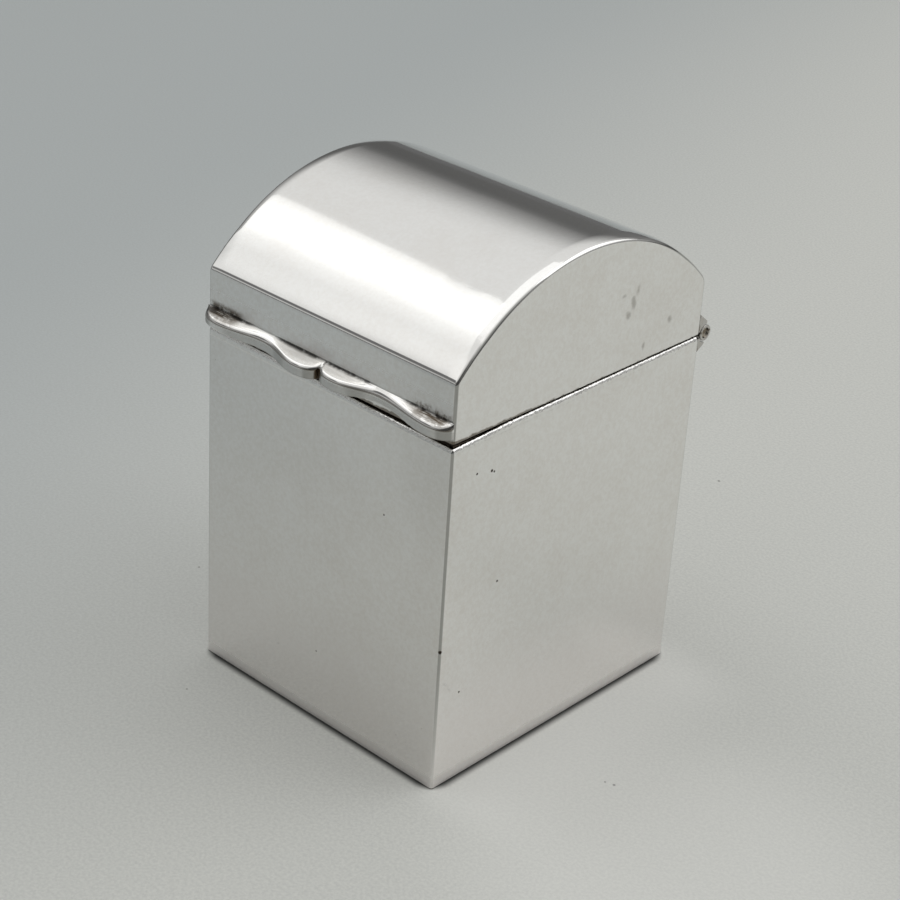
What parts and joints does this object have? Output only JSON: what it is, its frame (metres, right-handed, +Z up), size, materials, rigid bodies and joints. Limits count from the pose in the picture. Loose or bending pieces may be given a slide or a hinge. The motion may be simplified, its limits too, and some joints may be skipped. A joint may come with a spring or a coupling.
{
  "type": "playing card box",
  "caption": "Upright metal box for standing packs of playing cards, with a barrel-domed lid on a back hinge, a wavy thumb piece and a central partition.",
  "frame": {"origin": "middle of the box's underside, on the surface that it stands on", "axes": "+Z up through the dome, +X along the front towards the right end, +Y from the front with the thumb piece towards the hinge"},
  "size_m": [0.068, 0.0822, 0.1087],
  "materials": {
    "polished_silver": "polished sterling silver with fine wear scratches",
    "whitened_silver": "unpolished white silver inside, slightly dulled",
    "hinge_wire": "drawn silver wire, slightly tarnished"
  },
  "bodies": {
    "body": {"body_wrap": "polished_silver", "base_plate": "whitened_silver", "mouth_lip_front": "whitened_silver", "mouth_lip_left": "whitened_silver", "mouth_lip_right": "whitened_silver", "partition": "whitened_silver", "body_hinge_bearer": "polished_silver", "hinge_pin": "hinge_wire", "body_knuckle_1": "polished_silver", "body_knuckle_3": "polished_silver", "body_knuckle_5": "polished_silver", "body_knuckle_7": "polished_silver"},
    "lid": {"lid_wrap": "polished_silver", "gable_left": "polished_silver", "gable_right": "polished_silver", "thumb_piece": "polished_silver", "lid_hinge_bearer": "polished_silver", "lid_knuckle_2": "polished_silver", "lid_knuckle_4": "polished_silver", "lid_knuckle_6": "polished_silver"}
  },
  "joints": [
    {"name": "lid_hinge", "type": "hinge", "parent": "body", "child": "lid", "pos_m": [0, 0.0394, 0.0781], "axis": [-1, 0, 0], "range_deg": [0, 170]}
  ]
}
